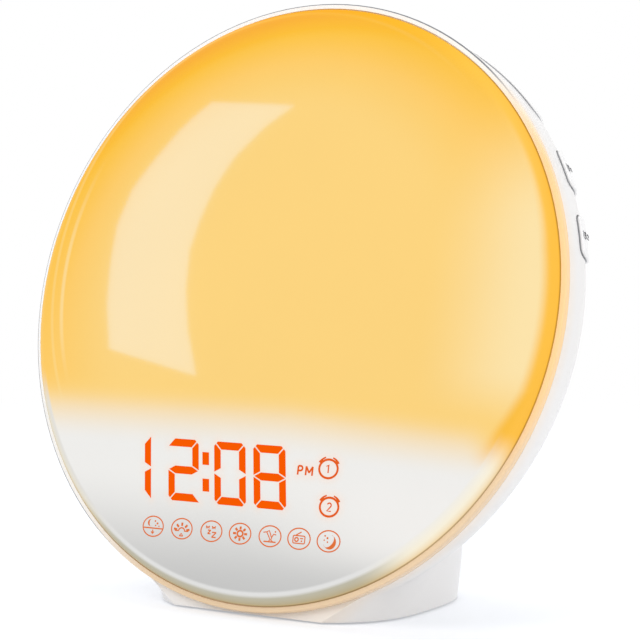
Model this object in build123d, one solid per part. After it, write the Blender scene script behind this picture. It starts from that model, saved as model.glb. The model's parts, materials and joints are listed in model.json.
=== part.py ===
from build123d import *
import os
from math import cos, radians, sin, sqrt

os.makedirs("parts", exist_ok=True)

# A bedside sunrise alarm clock: a round glowing face that leans back on a short oval pedestal.
# Millimetres. The origin is the middle of the pedestal's footprint, on the table.
# +X is to the right of somebody who looks at the face, -Y is towards them, +Z is up.

# ---------------------------------------------------------------- driving dimensions

# face and rim
face_tilt = 13.9             # lean of the light face from vertical, degrees
rim_radius = 86.0
rim_lift = 1.52              # lowest point of the rim over the table
rim_front = 1.06             # and how far it stands in front of the pedestal
rim_lip = 1.5                # width of the lip that shows round the diffuser
rim_depth = 2.4              # depth of the rim's own side wall
rim_seam = 0.3               # chamfer on the parting line
rim_shelf_depth = 1.2        # how far the diffuser sinks into the rim
rim_shelf = 2.0              # thickness of the shelf that carries the diffuser
rim_shelf_width = 11.0
rim_spigot = 1.8             # wall that slips inside the housing
rim_spigot_gap = 0.4
rim_spigot_depth = 4.6
rim_boss_depth = 9.0         # how far the screw bosses reach behind the face plane

# diffuser dome
diffuser_gap = 0.3
diffuser_wall = 2.0
diffuser_height = 8.0        # apex above the face plane
diffuser_crown = 2.2         # how much the face bulges from its edge to its apex
diffuser_corner = 5.0        # rounding from the face to the side

# rear housing
wall = 2.2
shell_tilt = 17.0            # the rear shell leans a little more than the face
shell_step = 0.1             # the shell is this much smaller than the rim
shell_band = 7.0             # straight band behind the rim
shoulder_radius = 12.0
shoulder_turn = 31.7         # degrees turned before the wide back curve starts
back_radius = 62.0
neck_fillet = 14.0

# pedestal
pedestal_half_width = 40.2
pedestal_half_depth = 34.0
pedestal_power = 3.0        # superellipse power of the footprint
pedestal_bottom = 0.6        # clearance of the housing's lower edge over the table
pedestal_drop = 20.0         # the form runs on below the table before it is trimmed
flare_height = 14.0
flare_half_width = 41.2
waist_height = 30.0
waist_half_width = 41.2
waist_back = 32.0
crest_height = 50.0
crest_half_width = 32.0
crest_back = 18.0

# keys
key_depth = 11.0             # middle of every key behind the shell's front edge
key_proud = 0.9
key_travel = 0.6
key_gap = 0.45
key_corner = 2.2
key_round = 0.4
key_flange = 1.1
key_flange_gap = 0.3
small_key_length = 11.5
small_key_height = 9.0
small_key_angles = {"upper": 28.6, "lower": 15.3}
snooze_end_angle = 41.04     # where the long key ends on the shell
snooze_height = 7.0
stem = 3.6
switch_size = 6.0
switch_height = 4.4
switch_depth = 4.0
plunger_radius = 1.5
plunger_length = 1.2         # proud of its switch
plunger_sink = 1.5           # part of it inside the switch
plunger_gap = 0.3
switch_inset = 12.3          # top of the plungers, and end of the key stems, inside the shell's radius
key_board_width = 9.5
key_board_gap = 0.4
key_board_end = 10.0
key_post_angles = (22.0, 62.0, 118.0, 158.0)
key_post_inset = 5.4

# light and boards
board = 1.6
tray_wall = 1.5
tray_floor_depth = 16.0
tray_flange_gap = 2.9        # from the ring's spigot
tray_flange = 7.1
tray_slope = 14.5            # width of the dish's sloping wall
tray_screw_inset = 2.0
tray_screw_angles = (-12.0, 55.0, 125.0, 192.0)
tray_screw_bite = 1.6
notch_gap = 0.3
step_rise = 52.0             # step between the light's dish and the display's deck, above the rim's foot
deck_step = 0.2              # the deck's wall stands this far outside the shelf's edge
deck_depth = 6.0
light_board_margin = 3.0
light_board_gap = 1.0
led_size = 5.0
led_height = 1.6
led_rings = 3
led_margin = 13.0            # outer ring of them, inside the board's edge
post_margin = 3.9            # posts inside the board's edge
post_angle = 28.6
post_radius = 3.2
post_bite = 1.9              # how far a board's screw reaches into the tray
main_board_margin = 6.0      # outside its posts
main_board_standoff = 3.0
processor = 12.0
processor_height = 1.6
connector_length = 14.0
connector_width = 5.0
connector_height = 6.0
connector_x = 30.0
connector_y = 14.0
capacitor_radius = 4.0
capacitor_height = 8.0
capacitor_x = 36.0
capacitor_y = 20.0

# display
display_gap = 0.4            # from the shelf's edge
display_foot = 5.1           # its lower edge stands this far above the bottom of that round
display_top_gap = 3.5        # below the step
display_aspect = 1.21875     # half width over height
display_wall = 1.2
display_plate = 1.0
display_front = 3.1
display_boss = 2.4
display_boss_inset = 2.7
display_boss_rise = 10.5     # of the lower screws over its lower edge
display_screw_bite = 3.0
film = 0.3
window_gap = 0.1

# its marks, as shares of its height, from the middle of its lower edge
digit_width = 0.328
digit_height = 0.5375
digit_stroke = 0.081
digit_slit = 0.011
digit_level = 0.603
tens_of_hours_place = -1.0125
digit_places = (-0.628, -0.1375, 0.2656)
colon_place = -0.384
colon_spread = 0.1125
half_day_place = 0.581
half_day_level = 0.6906
half_day_length = 0.181
half_day_height = 0.0875
icon_radius = 0.05
icon_level = 0.1156
icon_pitch = 0.2984
icon_count = 7
alarm_radius = 0.081
alarm_place = 0.8406
alarm_levels = (0.725, 0.4125)

# speaker
speaker_radius = 25.0
speaker_sheet = 1.2
speaker_gasket = 1.0
speaker_gasket_width = 4.0
speaker_basket_depth = 9.5
speaker_magnet_radius = 13.0
speaker_magnet_height = 6.0
speaker_mouth_radius = 18.0
speaker_ear_radius = 27.0
speaker_ear = 3.4
speaker_screw_bite = 1.8
speaker_window = 9.0
cone_sheet = 0.5
cone_gap = 0.5
cone_neck_radius = 6.5
cone_depth = 5.4
cap_depth = 2.0
coil_length = 2.4
grille_radius = 20.6
grille_hole = 1.15
grille_pitch = 5.0

# sockets
port_level = 7.5             # top of the port board over the table
port_spread = 9.0            # sockets to the left and right of the middle
port_panel = 32.4            # flat outer face of the port panel
port_panel_width = 34.0
port_panel_low = 5.5
port_panel_high = 24.0
port_board_front = 15.6
port_board_gap = 0.4
port_gap = 0.3
port_board_half_width = 24.0
port_screw_places = ((-20.5, 19.0), (20.5, 19.0), (-1.2, 26.0))
port_screw_bite = 2.0
jack_width = 9.0
jack_height = 10.0
jack_length = 13.6
jack_collar = 4.0
jack_bore = 2.8
jack_bore_depth = 9.0
jack_pin = 1.0
usb_width = 14.0
usb_height = 6.6
usb_length = 14.0
usb_sheet = 0.6
usb_tongue = 1.8
usb_mouth_depth = 10.0

# underside
plate_bottom = 1.0
plate = 2.2
plate_gap = 0.25
foot_radius = 6.0
foot_x = 24.0
foot_y = 18.0
foot_sink = 0.8
base_screw_x = 32.0
base_screw_y = 11.0
base_boss = 3.4
base_boss_top = 17.0
base_screw_sink = 2.0
base_screw_bite = 5.0
base_pad = 1.8
cell_radius = 10.0
cell_height = 3.2
cell_gap = 0.4
cell_wall = 1.4
contact = 0.3
contact_width = 4.0
door_radius = 13.0
door_gap = 0.3
door = 1.4
door_neck_radius = 11.2
door_lug_radius = 12.7
door_lug_width = 6.0
door_lug = 0.8
door_slot = 1.6
door_slot_length = 15.0
door_slot_depth = 0.8

# screws
screw_shank = 1.2
screw_head = 2.2
screw_head_height = 1.6
screw_pilot = 0.05           # radial clearance of a thread in its boss
screw_hole = 0.25            # radial clearance of a shank in a hole
screw_recess = 2.4
screw_recess_width = 0.6
screw_recess_depth = 0.8
screw_boss = 2.8
case_screw_inset = 1.4       # outside the shelf's edge
case_screw_angles = (75.0, 105.0, 183.0, 230.0, 310.0, 357.0)
case_screw_seat = 14.0       # depth of the head seats behind the face plane
case_screw_bite = 5.4
case_post = 3.4
case_well = 2.5

# ---------------------------------------------------------------- places that follow

face_y = rim_radius * sin(radians(face_tilt)) - pedestal_half_depth - rim_front
face_z = rim_radius * cos(radians(face_tilt)) + rim_lift
shell_radius = rim_radius - shell_step
lip_radius = rim_radius - rim_lip
shelf_radius = rim_radius - rim_shelf_width
spigot_radius = shell_radius - wall - rim_spigot_gap
case_screw_radius = shelf_radius + case_screw_inset
tray_flange_radius = spigot_radius - rim_spigot - tray_flange_gap
tray_mouth_radius = tray_flange_radius - tray_flange
tray_floor_radius = tray_mouth_radius - tray_slope
tray_screw_radius = tray_flange_radius - tray_screw_inset
light_board_radius = tray_floor_radius - light_board_margin
step_height = step_rise - rim_radius
deck_radius = shelf_radius + deck_step
led_pitch = (light_board_radius - led_margin) / (led_rings - 1)
post_x = (light_board_radius - post_margin) * cos(radians(post_angle))
post_y = (light_board_radius - post_margin) * sin(radians(post_angle))
display_reach = shelf_radius - display_gap
display_bottom = display_foot - display_reach
display_top = step_height - display_top_gap
display_height = display_top - display_bottom
display_half_width = display_aspect * display_height
switch_reach = shell_radius - switch_inset
switch_top = switch_reach - plunger_length
key_board_radius = switch_top - key_board_gap
key_post_radius = key_board_radius - key_post_inset
snooze_length = 2 * shell_radius * cos(radians(snooze_end_angle))

# ---------------------------------------------------------------- frames


def tilted(origin, angle):
    """A plane whose X is the row's X and whose Z looks forward and up, leaning back by angle."""
    return Plane(origin=origin, x_dir=(1, 0, 0), z_dir=(0, -cos(radians(angle)), sin(radians(angle))))


face_plane = tilted((0, face_y, face_z), face_tilt)
face = face_plane.location
shell_plane = tilted(face_plane.from_local_coords((0, 0, -rim_depth)), shell_tilt)
shell = shell_plane.location
reach = 2 * rim_radius       # longer than anything that is trimmed


def save(name, solid):
    export_step(solid, os.path.join("parts", name + ".step"))


def polar(radius, angle):
    return radius * cos(radians(angle)), radius * sin(radians(angle))


def turned(points, rounding=0.0, corners=()):
    """Revolve a closed outline of (radius, height) points about Z, with some corners rounded."""
    outline = make_face(Polyline(*points, close=True))
    if corners:
        picked = [min(outline.vertices(), key=lambda v: (v.X - r) ** 2 + (v.Y - h) ** 2) for r, h in corners]
        outline = fillet(picked, rounding)
    return revolve(Plane.XZ * outline, Axis.Z)


def ring(outer, inner, low, high):
    return Pos(0, 0, (low + high) / 2) * (Cylinder(outer, high - low) - Cylinder(inner, high - low))


def disc(radius, low, high):
    return Pos(0, 0, (low + high) / 2) * Cylinder(radius, high - low)


def slab(x0, x1, y0, y1, z0, z1):
    return Pos((x0 + x1) / 2, (y0 + y1) / 2, (z0 + z1) / 2) * Box(x1 - x0, y1 - y0, z1 - z0)


def screw(length):
    """A pan head screw: its head sits on z = 0 and its shank points down."""
    recess = Box(screw_recess, screw_recess_width, 2 * screw_recess_depth)
    recess += Box(screw_recess_width, screw_recess, 2 * screw_recess_depth)
    body = disc(screw_head, 0, screw_head_height) + disc(screw_shank, -length, 0)
    return body - Pos(0, 0, screw_head_height) * recess


def group(solids):
    """Several solids kept apart in one node."""
    return Compound(children=[solid for item in solids for solid in item.solids()])


# ---------------------------------------------------------------- housing forms

shoulder_center = (shell_radius - shoulder_radius, -shell_band)
turn_x, turn_y = polar(1.0, -shoulder_turn)
back_center = (shoulder_center[0] + (shoulder_radius - back_radius) * turn_x,
               shoulder_center[1] + (shoulder_radius - back_radius) * turn_y)
back_level = back_center[1] - back_radius
flat_radius = back_center[0]


def shell_form(offset, front=reach / 4):
    """The bowl behind the rim, grown outwards by offset, with its open end at front."""
    def on(center, radius, angle):
        x, y = polar(radius + offset, -angle)
        return center[0] + x, center[1] + y
    start = on(shoulder_center, shoulder_radius, 0)
    turn = on(shoulder_center, shoulder_radius, shoulder_turn)
    end = on(back_center, back_radius, 90)
    edges = [
        Line((0, front), (start[0], front)),
        Line((start[0], front), start),
        ThreePointArc(start, on(shoulder_center, shoulder_radius, shoulder_turn / 2), turn),
        ThreePointArc(turn, on(back_center, back_radius, (shoulder_turn + 90) / 2), end),
        Line(end, (0, end[1])),
        Line((0, end[1]), (0, front)),
    ]
    return shell * revolve(Plane.XZ * make_face(edges), Axis.Z)


def footprint(half_width, back, inset):
    """A superellipse whose front stays in place while its back moves."""
    front = -pedestal_half_depth + inset
    rear = back - inset
    middle = (front + rear) / 2
    steps = 24
    points = []
    for step in range(steps):
        x, y = polar(1.0, 360 * step / steps - 90)
        power = 2 / pedestal_power
        x = (half_width - inset) * abs(x) ** power * (1 if x > 0 else -1)
        y = middle + (rear - front) / 2 * abs(y) ** power * (1 if y > 0 else -1)
        points.append((x, y))
    return make_face(Spline(*points, periodic=True))


def pedestal_form(inset):
    """The pedestal's column, from below the table up into the shell."""
    levels = [
        (-pedestal_drop, 2 * pedestal_half_width - flare_half_width, pedestal_half_depth),
        (flare_height, flare_half_width, pedestal_half_depth),
        (waist_height, waist_half_width, waist_back),
        (crest_height - inset, crest_half_width, crest_back),
    ]
    return loft([Pos(0, 0, level) * footprint(width, back, inset) for level, width, back in levels])


def along(locations, solid):
    """Copies of a solid at each of some locations, as one part."""
    return Part() + [location * solid for location in locations]


def upright(length, height, radius, low, high):
    """A rounded bar that points along +Y, between two levels of Y."""
    outline = Plane.XZ * RectangleRounded(length, height, radius)
    return Pos(0, high, 0) * extrude(outline, amount=high - low)


# ---------------------------------------------------------------- keys


def key_frame(angle):
    """A key's own frame: Z points away from the shell's axis and Y points to the front."""
    x, y = polar(1.0, angle)
    return shell * Plane(origin=(0, 0, -key_depth), x_dir=(-y, x, 0), z_dir=(x, y, 0)).location


def key_prism(angle, length, height, margin, low):
    outline = RectangleRounded(length + 2 * margin, height + 2 * margin, key_corner + margin)
    return key_frame(angle) * Pos(0, 0, low) * extrude(outline, amount=reach - low)


small_low = shell_radius - 6 * wall                              # below a small key's flange
snooze_low = sqrt((shell_radius - 3 * wall) ** 2 - (snooze_length / 2 + 2 * key_flange) ** 2)
keys = {"snooze_bar": (90.0, snooze_length, snooze_height, snooze_low)}
for level, angle in small_key_angles.items():
    keys[level + "_right_key"] = (angle, small_key_length, small_key_height, small_low)
    keys[level + "_left_key"] = (180 - angle, small_key_length, small_key_height, small_low)

flange_top = -wall - key_flange_gap
proud_form = shell_form(key_proud)
under_wall_form = shell_form(flange_top)
under_flange_form = shell_form(flange_top - key_flange)
case_places = [face * Pos(*polar(case_screw_radius, angle)) for angle in case_screw_angles]
post_room = along(case_places, disc(case_post + key_travel + key_gap, -reach / 2, 0))


def key_cap(angle, length, height, low):
    """A cap that follows the shell's curve, with a stop flange behind the wall and a stem.

    It keeps clear of the posts that the case screws go through.
    """
    cap = key_prism(angle, length, height, 0, low) & proud_form
    cap = fillet(new_edges(key_prism(angle, length, height, 0, low), proud_form, combined=cap), key_round)
    cap -= under_wall_form
    flange = (key_prism(angle, length, height, key_flange, low) & under_wall_form) - under_flange_form
    stem_top = shell_radius + flange_top - key_flange / 2
    post = key_frame(angle) * slab(-stem / 2, stem / 2, -stem / 2, stem / 2, switch_reach, stem_top)
    return (cap + flange - post_room) + (post & under_wall_form)


# switches stand on one curved board that follows the keys, each with a plunger that its key's
# stem rests on and pushes in
plunger_end = switch_top - plunger_sink
switch = slab(-switch_size / 2, switch_size / 2, -switch_height / 2, switch_height / 2,
              switch_top - switch_depth, switch_top)
switch -= disc(plunger_radius + plunger_gap, plunger_end - key_travel - plunger_gap, switch_top)
plunger = disc(plunger_radius, plunger_end, switch_reach)
for name, key in keys.items():
    save(name, key_cap(*key))
    save(name + "_plunger", key_frame(key[0]) * plunger)
save("key_switches", group([key_frame(key[0]) * switch for key in keys.values()]))

key_board_top = -key_depth - switch_height / 2
key_board = ring(key_board_radius, key_board_radius - key_board_width, key_board_top - board, key_board_top)
key_board &= slab(-reach, reach, key_board_end, reach, -reach, reach)
key_posts = [Pos(*polar(key_post_radius, angle), key_board_top) for angle in key_post_angles]
key_board -= along(key_posts, Cylinder(screw_shank + screw_hole, 4 * board))
save("key_board", shell * key_board)
key_screw = screw(3 * board)
save("key_board_screws", group([shell * place * key_screw for place in key_posts]))

# ---------------------------------------------------------------- rear housing

outer_shell = shell_form(0)
outer_pedestal = pedestal_form(0)
blank = outer_shell + outer_pedestal
blank = fillet(new_edges(outer_shell, outer_pedestal, combined=blank), neck_fillet)
ahead = face * slab(-reach, reach, -reach, reach, -rim_depth, reach)
below = slab(-reach, reach, -reach, reach, -reach, pedestal_bottom)
blank = blank - ahead - below

# the hollow leaves out every post, pad and boss, so that they grow from the wall
hollow = shell_form(-wall) + pedestal_form(wall)
hollow -= along(case_places, disc(case_post, -reach / 2, -rim_boss_depth))
post_tops = [shell * place for place in key_posts]
hollow -= along(post_tops, disc(screw_boss, -reach / 2, -board))

# seat for the speaker's ears
ear_places = [Pos(*polar(speaker_ear_radius, 45 + 90 * turn)) for turn in range(4)]
back_inside = back_level + wall
hollow -= shell * along(ear_places, disc(screw_boss, 2 * back_level, back_inside + speaker_gasket))

# flat panel for the sockets
panel_middle = (port_panel_low + port_panel_high) / 2
panel_height = port_panel_high - port_panel_low
panel_pad = upright(port_panel_width + 2 * wall, panel_height + 2 * wall, wall, port_panel - wall, reach)
hollow -= Pos(0, 0, panel_middle) * panel_pad

# bosses for the base plate's screws, each with a rib to the wall
base_places = [Pos(x, y, 0) for x in (-base_screw_x, base_screw_x) for y in (-base_screw_y, base_screw_y)]
boss_bottom = plate_bottom + plate + base_pad
for place in base_places:
    x, y = place.position.X, place.position.Y
    side = 1 if x > 0 else -1
    hollow -= place * disc(base_boss, boss_bottom, base_boss_top)
    hollow -= slab(min(x, side * reach), max(x, side * reach), y - wall / 2, y + wall / 2,
                   boss_bottom, base_boss_top)

housing = blank - hollow

# screw holes and wells
housing -= along(case_places, disc(case_well, -reach / 2, -case_screw_seat))
housing -= along(case_places, disc(screw_shank + screw_hole, -case_screw_seat - wall, -rim_boss_depth + wall))
housing -= along(post_tops, disc(screw_shank + screw_pilot, -4 * board, -board))
housing -= shell * along(ear_places, disc(screw_shank + screw_pilot, back_inside - wall / 2, 0))
housing -= along(base_places, disc(screw_shank + screw_pilot, 0, base_boss_top - wall))

# slots for the keys
for angle, length, height, low in keys.values():
    housing -= key_prism(angle, length, height, key_gap, low) - under_wall_form

# grille in the flat of the back: rings of round holes
grille = []
for count in range(int(grille_radius / grille_pitch) + 1):
    holes = max(1, 6 * count)
    grille += [Pos(*polar(count * grille_pitch, 360 * turn / holes)) for turn in range(holes)]
housing -= shell * along(grille, disc(grille_hole, 2 * back_level, back_inside + wall))

# sockets' panel
jack_level = port_level + jack_height / 2
usb_level = port_level + usb_height / 2
panel_cut = upright(port_panel_width, panel_height, wall, port_panel, reach)
housing -= Pos(0, 0, panel_middle) * panel_cut
jack_hole = Plane.XZ * Circle(jack_collar + port_gap)
usb_hole = Plane.XZ * RectangleRounded(usb_width + 2 * port_gap, usb_height + 2 * port_gap, port_gap)
housing -= Pos(-port_spread, port_panel + wall, jack_level) * extrude(jack_hole, amount=4 * wall)
housing -= Pos(port_spread, port_panel + wall, usb_level) * extrude(usb_hole, amount=4 * wall)
save("rear_housing", housing)

# ---------------------------------------------------------------- front ring and diffuser

shelf_bottom = -rim_shelf_depth - rim_shelf
front_ring = turned([
    (lip_radius, 0),
    (rim_radius, 0),
    (rim_radius, -rim_depth + rim_seam),
    (rim_radius - rim_seam, -rim_depth),
    (spigot_radius, -rim_depth),
    (spigot_radius, -rim_depth - rim_spigot_depth),
    (spigot_radius - rim_spigot, -rim_depth - rim_spigot_depth),
    (spigot_radius - rim_spigot, shelf_bottom),
    (shelf_radius, shelf_bottom),
    (shelf_radius, -rim_shelf_depth),
    (lip_radius, -rim_shelf_depth),
], rim_lip / 3, [(rim_radius, 0)])
bosses = [Pos(*polar(case_screw_radius, angle)) for angle in case_screw_angles]
front_ring += along(bosses, disc(screw_boss, -rim_boss_depth, -rim_shelf_depth - rim_shelf / 2))
front_ring -= along(bosses, disc(screw_shank + screw_pilot, -reach, shelf_bottom))
tray_screw_places = [Pos(*polar(tray_screw_radius, angle)) for angle in tray_screw_angles]
front_ring -= along(tray_screw_places, Cylinder(screw_shank + screw_pilot, reach))
save("front_ring", face * front_ring)

diffuser_radius = lip_radius - diffuser_gap


def dome(radius, apex, rounding):
    """A shallow dome over a straight side that starts at the shelf."""
    edge = apex - diffuser_crown
    arc = ThreePointArc((0, apex), (radius / 2, apex - diffuser_crown / 4), (radius, edge))
    side = Polyline((radius, edge), (radius, -rim_shelf_depth), (0, -rim_shelf_depth), (0, apex))
    outline = make_face(arc + side)
    corner = min(outline.vertices(), key=lambda v: (v.X - radius) ** 2 + (v.Y - edge) ** 2)
    return revolve(Plane.XZ * fillet(corner, rounding), Axis.Z)


front_diffuser = dome(diffuser_radius, diffuser_height, diffuser_corner)
front_diffuser -= dome(diffuser_radius - diffuser_wall, diffuser_height - diffuser_wall,
                       diffuser_corner - diffuser_wall)
save("front_diffuser", face * front_diffuser)

# ---------------------------------------------------------------- light

floor = -tray_floor_depth
flange_bottom = shelf_bottom - tray_wall
deck = -deck_depth
upper = slab(-reach, reach, step_height, reach, -reach, reach)
upper_outer = slab(-reach, reach, step_height - tray_wall, reach, -reach, reach)
lower = slab(-reach, reach, -reach, step_height, -reach, reach)

dish_outer = turned([
    (0, floor - tray_wall),
    (tray_floor_radius + tray_wall, floor - tray_wall),
    (tray_mouth_radius + tray_wall, flange_bottom),
    (0, flange_bottom),
])
dish_inner = turned([
    (0, floor),
    (tray_floor_radius, floor),
    (tray_mouth_radius, shelf_bottom),
    (0, shelf_bottom),
])
light_tray = (dish_outer & upper_outer) + disc(tray_flange_radius, flange_bottom, shelf_bottom)
light_tray += disc(deck_radius + tray_wall, deck - tray_wall, shelf_bottom) & lower
posts = [Pos(x, y) for x in (-post_x, post_x) for y in (-post_y, post_y)]
light_tray += along(posts, disc(post_radius, floor - tray_wall - main_board_standoff, floor - tray_wall))
light_tray -= dish_inner & upper
light_tray -= disc(deck_radius, deck, reach) & lower
light_tray -= along(bosses, disc(screw_boss + notch_gap, -reach, reach))
light_tray -= along(tray_screw_places, Cylinder(screw_shank + screw_hole, reach))
light_tray -= along(posts, Cylinder(screw_shank + screw_pilot, reach))
display_boss_x = display_half_width - display_boss_inset
display_boss_levels = (display_bottom + display_boss_rise, display_top - display_boss_inset)
display_bosses = [Pos(x, y) for x in (-display_boss_x, display_boss_x) for y in display_boss_levels]
light_tray -= along(display_bosses, Cylinder(screw_shank + screw_hole, reach))
save("light_tray", face * light_tray)

# every screw in the tray points forward, apart from those of the light board
forward = Rot(180, 0, 0)
tray_screw = Pos(0, 0, flange_bottom) * forward * screw(tray_wall + tray_screw_bite)
save("tray_screws", group([face * place * tray_screw for place in tray_screw_places]))

light_board_top = floor + board
light_board_edge = step_height + light_board_gap
light_board = disc(light_board_radius, floor, light_board_top)
light_board &= slab(-reach, reach, light_board_edge, reach, -reach, reach)
light_board -= along(posts, Cylinder(screw_shank + screw_hole, reach))
save("light_board", face * light_board)

led = slab(-led_size / 2, led_size / 2, -led_size / 2, led_size / 2, light_board_top, light_board_top + led_height)
leds = []
for count in range(led_rings):
    holes = max(1, 6 * count)
    for turn in range(holes):
        x, y = polar(count * led_pitch, 360 * turn / holes)
        if y > light_board_edge + led_size:
            leds.append(face * Pos(x, y) * led)
save("light_leds", group(leds))
light_board_screw = Pos(0, 0, light_board_top) * screw(board + post_bite)
save("light_board_screws", group([face * place * light_board_screw for place in posts]))

# ---------------------------------------------------------------- display

display_board_top = deck + board


def display_form(inset, low, high):
    """A bar whose lower corners follow the round of the face."""
    bar = slab(inset - display_half_width, display_half_width - inset,
               display_bottom + inset, display_top - inset, low, high)
    return bar & disc(display_reach - inset, low, high)


def segment(length, stroke, margin):
    """A bar with pointed ends, seen along Z."""
    half = stroke / 2 + margin
    end = length / 2 + margin
    points = [(-end, 0), (half - end, half), (end - half, half), (end, 0), (end - half, -half), (half - end, -half)]
    return make_face(Polyline(*points, close=True))


def guides(margin, low, high):
    """Every light guide of the display, grown by margin."""
    def at(place, level):
        return Pos(place * display_height, display_bottom + level * display_height)
    stroke = digit_stroke * display_height
    across = (digit_width - digit_stroke) / 2
    up = (digit_height - digit_stroke) / 2
    slit = digit_slit * display_height
    flat = segment(2 * across * display_height - slit, stroke, margin)
    tall = Rot(0, 0, 90) * segment(up * display_height - slit, stroke, margin)
    levels = [digit_level + level * up / 2 for level in (-1, 1)]
    marks = [at(tens_of_hours_place, level) * tall for level in levels]
    for place in digit_places:
        marks += [at(place + side * across, level) * tall for side in (-1, 1) for level in levels]
        marks += [at(place, digit_level + level * up) * flat for level in (-1, 0, 1)]
    dot = Rectangle(stroke + 2 * margin, stroke + 2 * margin)
    marks += [at(colon_place, digit_level + level * colon_spread) * dot for level in (-1, 1)]
    half_day = Rectangle(half_day_length * display_height + 2 * margin,
                         half_day_height * display_height + 2 * margin)
    marks.append(at(half_day_place, half_day_level) * half_day)
    icon = Circle(icon_radius * display_height + margin)
    marks += [at((count - (icon_count - 1) / 2) * icon_pitch, icon_level) * icon for count in range(icon_count)]
    alarm = Circle(alarm_radius * display_height + margin)
    marks += [at(alarm_place, level) * alarm for level in alarm_levels]
    return [Pos(0, 0, low) * extrude(mark, amount=high - low) for mark in marks]


display_board = display_form(0, deck, display_board_top)
display_board -= along(display_bosses, Cylinder(screw_shank + screw_hole, reach))
save("display_board", face * display_board)

display_frame = display_form(0, display_board_top, display_front)
display_frame -= display_form(display_wall, display_board_top, display_front - display_plate)
display_frame += along(display_bosses, disc(display_boss, display_board_top, display_front - display_plate / 2))
display_frame -= along(display_bosses, disc(screw_shank + screw_pilot, -reach, display_front - 2 * display_plate))
display_frame -= Part() + guides(window_gap, display_board_top, reach)
save("display_frame", face * display_frame)

save("display_segments", group([face * guide for guide in guides(0, display_board_top, display_front)]))
save("display_film", face * display_form(0, display_front, display_front + film))
display_screw = Pos(0, 0, deck - tray_wall) * forward * screw(tray_wall + board + display_screw_bite)
save("display_screws", group([face * place * display_screw for place in display_bosses]))

# ---------------------------------------------------------------- main board

main_board_top = floor - tray_wall - main_board_standoff
main_board_bottom = main_board_top - board
main_board_x = post_x + main_board_margin
main_board_y = post_y + main_board_margin
main_board = slab(-main_board_x, main_board_x, -main_board_y, main_board_y, main_board_bottom, main_board_top)
main_board -= along(posts, Cylinder(screw_shank + screw_hole, reach))
save("main_board", face * main_board)

chip = slab(-processor / 2, processor / 2, -processor / 2, processor / 2,
            main_board_bottom - processor_height, main_board_bottom)
connector = slab(-connector_length / 2, connector_length / 2, -connector_width / 2, connector_width / 2,
                 main_board_bottom - connector_height, main_board_bottom)
connector_well = slab(board - connector_length / 2, connector_length / 2 - board,
                      board / 2 - connector_width / 2, connector_width / 2 - board / 2,
                      -reach, main_board_bottom - board)
capacitor = disc(capacitor_radius, main_board_bottom - capacitor_height, main_board_bottom)
parts = [chip]
parts += [Pos(side * connector_x, -connector_y) * (connector - connector_well) for side in (-1, 1)]
parts += [Pos(side * capacitor_x, capacitor_y - 4 * capacitor_radius * side) * capacitor for side in (0, 1)]
save("main_board_parts", group([face * item for item in parts]))
main_board_screw = Pos(0, 0, main_board_bottom) * forward * screw(board + post_bite)
save("main_board_screws", group([face * place * main_board_screw for place in posts]))

# ---------------------------------------------------------------- speaker

sheet_back = back_inside + speaker_gasket
sheet_front = sheet_back + speaker_sheet
basket_top = sheet_back + speaker_basket_depth
gasket = ring(speaker_radius, speaker_radius - speaker_gasket_width, back_inside, sheet_back)
gasket -= along(ear_places, Cylinder(screw_boss + notch_gap, reach))
save("speaker_gasket", shell * gasket)

speaker_frame = turned([
    (speaker_mouth_radius, sheet_back),
    (speaker_radius, sheet_back),
    (speaker_radius, sheet_front),
    (speaker_mouth_radius + 2 * speaker_sheet, sheet_front),
    (speaker_magnet_radius, basket_top),
    (0, basket_top),
    (0, basket_top - speaker_sheet),
    (speaker_magnet_radius - speaker_sheet, basket_top - speaker_sheet),
])
speaker_frame += along(ear_places, disc(speaker_ear, sheet_back, sheet_front)) - disc(speaker_radius - 1, -reach, reach)
speaker_frame -= along(ear_places, Cylinder(screw_shank + screw_hole, reach))
for turn in range(4):
    window = slab(speaker_magnet_radius, reach, -speaker_window / 2, speaker_window / 2,
                  sheet_front, basket_top - speaker_sheet)
    speaker_frame -= Rot(0, 0, 90 * turn) * window
save("speaker_frame", shell * speaker_frame)

cone_back = sheet_back - cone_sheet
cone_edge = speaker_radius - speaker_gasket_width - port_gap
cone_mouth = speaker_mouth_radius - cone_gap
cone_neck = cone_back + cone_depth
speaker_cone = turned([
    (cone_edge, cone_back),
    (cone_mouth, cone_back),
    (cone_neck_radius, cone_neck),
    (cone_neck_radius / 2, cone_neck - 0.8 * cap_depth),
    (0, cone_neck - cap_depth),
    (0, cone_neck - cap_depth + cone_sheet),
    (cone_neck_radius / 2, cone_neck - 0.8 * cap_depth + cone_sheet),
    (cone_neck_radius - cone_sheet, cone_neck + cone_sheet),
    (cone_neck_radius - cone_sheet, cone_neck + coil_length),
    (cone_neck_radius, cone_neck + coil_length),
    (cone_neck_radius, cone_neck + cone_sheet),
    (cone_mouth, sheet_back),
    (cone_edge, sheet_back),
])
save("speaker_cone", shell * speaker_cone)
magnet = disc(speaker_magnet_radius, basket_top, basket_top + speaker_magnet_height)
magnet = chamfer(magnet.edges().group_by(Axis.Z)[-1], cone_sheet)
save("speaker_magnet", shell * magnet)
speaker_screw = Pos(0, 0, sheet_front) * screw(speaker_sheet + speaker_screw_bite)
save("speaker_screws", group([shell * place * speaker_screw for place in ear_places]))

# ---------------------------------------------------------------- sockets

port_bottom = port_level - board
panel_inside = port_panel - wall
port_posts = [Pos(x, y, 0) for x, y in port_screw_places]
port_board = slab(-port_board_half_width, port_board_half_width, port_board_front, panel_inside - port_board_gap,
                  port_bottom, port_level)
port_board &= pedestal_form(wall + port_board_gap)
port_board -= along(port_posts, Cylinder(screw_shank + screw_hole, reach))
save("port_board", port_board)
port_screw = Pos(0, 0, port_level) * screw(board + port_screw_bite)
save("port_board_screws", group([place * port_screw for place in port_posts]))

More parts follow.
